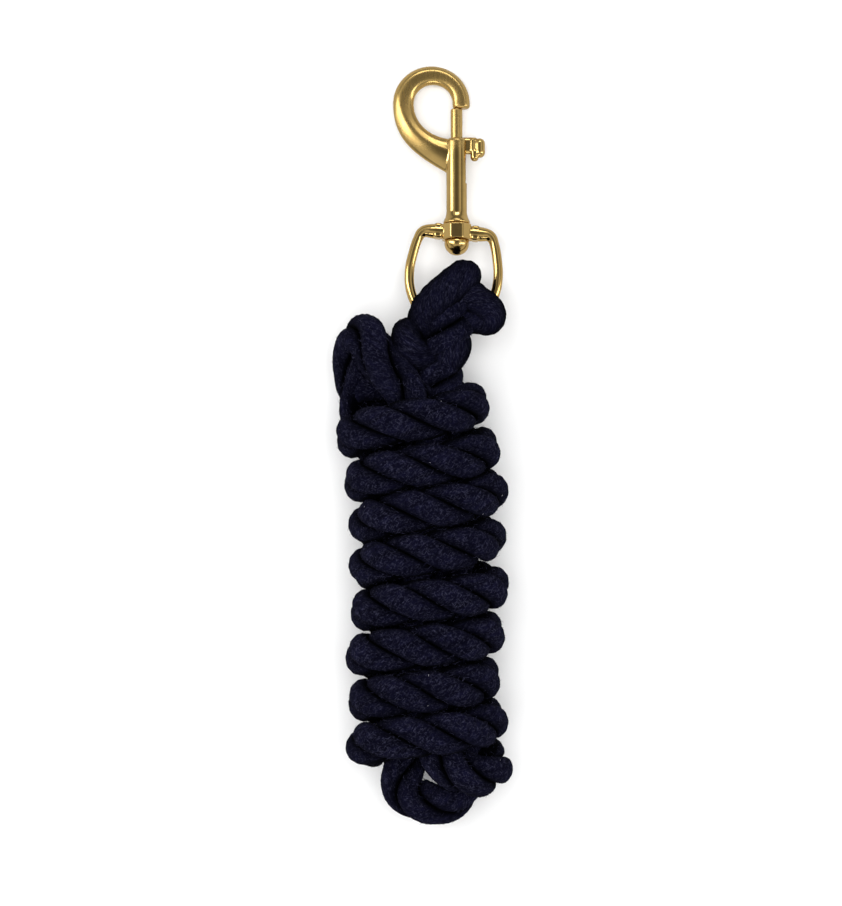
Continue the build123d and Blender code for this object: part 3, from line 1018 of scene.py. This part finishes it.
def cast_together(name, shapes, cuts, voxel, rounds, matrix):
    """Runs overlapping shapes together as one casting with soft corners."""
    whole = bmesh.new()
    for shape in shapes:
        data = bpy.data.meshes.new(name)
        shape.to_mesh(data)
        shape.free()
        whole.from_mesh(data)
        bpy.data.meshes.remove(data)
    piece = to_object(name, whole)
    remesh = piece.modifiers.new("fuse", "REMESH")
    remesh.mode = "VOXEL"
    remesh.voxel_size = voxel
    helpers = []
    for number, cut in enumerate(cuts):
        helper = to_object(f"{name}_cut_{number}", cut)
        carve = piece.modifiers.new("carve", "BOOLEAN")
        carve.operation = "DIFFERENCE"
        carve.object = helper
        carve.solver = "EXACT"
        helpers.append(helper)
    data = applied(piece)
    for helper in helpers:
        bpy.data.meshes.remove(helper.data)
    mesh = bmesh.new()
    mesh.from_mesh(data)
    every_way = {"use_axis_x": True, "use_axis_y": True, "use_axis_z": True}
    for _ in range(rounds):
        bmesh.ops.smooth_vert(mesh, verts=mesh.verts, factor=0.5, **every_way)
    bmesh.ops.transform(mesh, matrix=matrix, verts=mesh.verts)
    data.name = name
    return finished(mesh, data)


def solid_from(data):
    mesh = bmesh.new()
    mesh.from_mesh(data)
    bpy.data.meshes.remove(data)
    return mesh


class LEADROPE_OT_snap(bpy.types.Operator):
    """Cast the hook, barrel and shoulder, bored and slotted"""

    bl_idname = "leadrope.snap"
    bl_label = "Snap body"

    def execute(self, context):
        _, place = snap_place()
        barrel = lathe([
            (0, BARREL_LOW),
            (SHOULDER_RADIUS - 0.5 * MM, BARREL_LOW),
            (SHOULDER_RADIUS, BARREL_LOW + 0.5 * MM),
            (SHOULDER_RADIUS - 0.3 * MM, BARREL_LOW + 1.5 * MM),
            (BARREL_RADIUS + 0.4 * MM, BARREL_LOW + 3.0 * MM),
            (BARREL_RADIUS, BARREL_LOW + 4.6 * MM),
            (BARREL_RADIUS, BARREL_HIGH - 0.9 * MM),
            (BARREL_RADIUS - 0.9 * MM, BARREL_HIGH),
            (0, BARREL_HIGH),
        ])
        bore = pin(BORE_RADIUS, BARREL_LOW - 2 * MM, BARREL_HIGH + 2 * MM, (0, 0, 0), 0.4 * MM)
        slot_height = BARREL_HIGH + 2 * MM - SLOT_LOW
        slot = rounded_block(
            (2 * BARREL_RADIUS, slot_height, 2 * SLOT_HALF),
            (BARREL_RADIUS, SLOT_LOW + slot_height / 2, 0),
            0.5 * MM,
        )
        shapes = [solid_from(hook_band()), barrel]
        data = cast_together("snap_casting", shapes, [bore, slot], 0.26 * MM, 10, place)
        settings = context.scene.lead_rope_brass
        satin = brass(settings, "satin_brass", 0.25, 0.6, smoother_below=120 * MM)
        piece = add_piece("snap_casting", data, satin, "snap")
        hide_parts("snap_body")
        return {"FINISHED"}


class LEADROPE_OT_stud(bpy.types.Operator):
    """Shape the thumb stud and finish the bolt"""

    bl_idname = "leadrope.stud"
    bl_label = "Thumb stud"

    def execute(self, context):
        _, place = snap_place()
        middle = 0.5 * (STUD_LOW + STUD_HIGH)
        arm = rounded_block(
            (8.6 * MM, STUD_HIGH - STUD_LOW, 3.4 * MM), (4.6 * MM, middle, 0), 1.5 * MM
        )
        outer_lobe = pin(2.3 * MM, 64.8 * MM, 73.0 * MM, (9.5 * MM, 0, 0.3 * MM), 2.2 * MM)
        inner_lobe = pin(1.7 * MM, 63.2 * MM, 68.6 * MM, (7.4 * MM, 0, 0.5 * MM), 1.6 * MM)
        ridge = pin(1.1 * MM, 66.6 * MM, 73.1 * MM, (6.6 * MM, 0, 1.0 * MM), 1.0 * MM)
        shapes = [arm, outer_lobe, inner_lobe, ridge]
        data = cast_together("thumb_stud_cast", shapes, [], 0.17 * MM, 12, place)
        settings = context.scene.lead_rope_brass
        polished = brass(settings, "polished_brass_stud", 0.17, 0.4)
        piece = add_piece("thumb_stud_cast", data, polished, "bolt")
        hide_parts("thumb_stud")
        paint_node("snap_bolt", brass(settings, "drawn_brass", 0.25, 0.35))
        return {"FINISHED"}


class LEADROPE_OT_ring(bpy.types.Operator):
    """Shape the swivel ring with its faceted crossbar, and the domed rivet"""

    bl_idname = "leadrope.ring"
    bl_label = "Ring and rivet"

    def execute(self, context):
        _, place = snap_place()
        settings = context.scene.lead_rope_brass
        lean = Matrix.Translation((0, RING_HEIGHT, 0)) @ Matrix.Rotation(-RING_LEAN, 4, "Z")
        boss = bmesh.new()
        bmesh.ops.create_cone(
            boss, cap_ends=True, segments=8, radius1=6.5 * MM, radius2=6.5 * MM, depth=BOSS_HIGH - BOSS_LOW
        )
        bmesh.ops.rotate(boss, cent=(0, 0, 0), matrix=Matrix.Rotation(math.pi / 8, 3, "Z"), verts=boss.verts)
        bmesh.ops.rotate(boss, cent=(0, 0, 0), matrix=Matrix.Rotation(math.pi / 2, 3, "X"), verts=boss.verts)
        round_edges(boss, 0.45 * MM, 2)
        bmesh.ops.translate(boss, vec=(0, 0.5 * (BOSS_LOW + BOSS_HIGH), 0), verts=boss.verts)
        bow = self.bow()
        bmesh.ops.transform(bow, matrix=lean, verts=bow.verts)
        shapes = [bow, boss]
        for side in (-1, 1):
            lug = rounded_block((3.4 * MM, 6.3 * MM, 5.8 * MM), (side * 7.7 * MM, 0, 0), 1.0 * MM)
            bmesh.ops.transform(lug, matrix=lean, verts=lug.verts)
            shapes.append(lug)
        hole = pin(BORE_RADIUS + 0.05 * MM, BOSS_LOW - 2 * MM, BOSS_HIGH + 2 * MM, (0, 0, 0), 0.3 * MM)
        data = cast_together("swivel_ring_cast", shapes, [hole], 0.2 * MM, 3, place)
        polished = brass(settings, "polished_brass", 0.13, 0.35)
        piece = add_piece("swivel_ring_cast", data, polished, "ring")
        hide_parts("swivel_ring")
        self.add_rivet(settings, place)
        return {"FINISHED"}

    def bow(self):
        """The ring's wire, from the boss round the bar and back."""
        half = [(4, 0), (9.5, 0), (14.2, -0.2), (16.1, -4.2), (17.4, -10), (18.5, -17), (17.8, -25)]
        half += [(14.0, -33.2), (5, -33.2)]
        right = [(x * MM, y * MM, 0) for x, y in half]
        left = [(-x, y, z) for x, y, z in reversed(right)]
        return solid_from(round_tube("ring_bow", right + left, 0.5 * MM, self.wire_radius, 32))

    def wire_radius(self, along):
        """The wire's radius: thick where it leaves the boss, thin for the rest of the ring."""
        from_end = np.minimum(along, along[-1] - along)
        arm = np.clip(1 - (from_end - 4 * MM) / (10 * MM), 0, 1)
        return 2 * MM + 1.15 * MM * arm * arm * (3 - 2 * arm)

    def add_rivet(self, settings, place):
        profile = [(0, RIVET_FACE - 6.2 * MM)]
        for step in range(1, 17):
            angle = math.pi / 2 * step / 16
            profile.append((5.1 * MM * math.sin(angle), RIVET_FACE - 1.3 * MM - 4.9 * MM * math.cos(angle)))
        profile += [(5.1 * MM, RIVET_FACE - 0.3 * MM), (4.8 * MM, RIVET_FACE), (2.45 * MM, RIVET_FACE)]
        profile += [(2.45 * MM, BARREL_LOW + 4.4 * MM), (0, BARREL_LOW + 4.4 * MM)]
        mesh = lathe(profile)
        bmesh.ops.transform(mesh, matrix=place, verts=mesh.verts)
        data = finished(mesh, bpy.data.meshes.new("domed_rivet"))
        mirror = brass(settings, "mirror_brass", 0.15, 0.3)
        piece = add_piece("domed_rivet", data, mirror, "snap")
        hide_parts("swivel_rivet")


class LEADROPE_OT_spring(bpy.types.Operator):
    """Wind the bolt's spring"""

    bl_idname = "leadrope.spring"
    bl_label = "Spring"

    def execute(self, context):
        along, place = snap_place()
        low = BARREL_LOW + 4.95 * MM
        high = low + 17.5 * MM
        turns = 9
        points = []
        coil = 2.05 * MM
        for step in range(turns * 12 + 1):
            angle = 2 * math.pi * step / 12
            station = low + (high - low) * step / (turns * 12)
            spot = Vector((coil * math.cos(angle), station, coil * math.sin(angle)))
            points.append(tuple(place @ spot))
        wire = 0.3 * MM
        data = round_tube("bolt_spring_coil", points, 0.35 * MM, lambda along: np.full_like(along, wire), 8)
        material = spring_material(context.scene.lead_rope_brass)
        piece = add_piece("bolt_spring_coil", data, material, "snap")
        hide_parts("bolt_spring")
        tuple(along)
        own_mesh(piece)
        return {"FINISHED"}


class LEADROPE_PT_panel(bpy.types.Panel):
    """Buttons for the lead rope's pieces"""

    bl_idname = "LEADROPE_PT_panel"
    bl_label = "Lead rope"
    bl_space_type = "VIEW_3D"
    bl_region_type = "UI"
    bl_category = "Lead Rope"

    def draw(self, context):
        for operator in OPERATORS:
            self.layout.operator(operator.bl_idname)


SETTINGS = {
    "lead_rope": RopeSettings,
    "lead_rope_brass": BrassSettings,
    "lead_rope_stage": StageSettings,
}
OPERATORS = (
    LEADROPE_OT_stage,
    LEADROPE_OT_rope,
    LEADROPE_OT_splice,
    LEADROPE_OT_snap,
    LEADROPE_OT_stud,
    LEADROPE_OT_ring,
    LEADROPE_OT_spring,
)
CLASSES = (*SETTINGS.values(), *OPERATORS, LEADROPE_PT_panel)


def register():
    for thing in CLASSES:
        bpy.utils.register_class(thing)
    for name, group in SETTINGS.items():
        setattr(bpy.types.Scene, name, bpy.props.PointerProperty(type=group))


def unregister():
    for name in SETTINGS:
        delattr(bpy.types.Scene, name)
    for thing in reversed(CLASSES):
        bpy.utils.unregister_class(thing)


def main():
    register()
    bpy.ops.leadrope.stage()
    bpy.ops.leadrope.rope()
    bpy.ops.leadrope.splice()
    bpy.ops.leadrope.snap()
    bpy.ops.leadrope.stud()
    bpy.ops.leadrope.ring()
    bpy.ops.leadrope.spring()


if __name__ == "__main__":
    main()
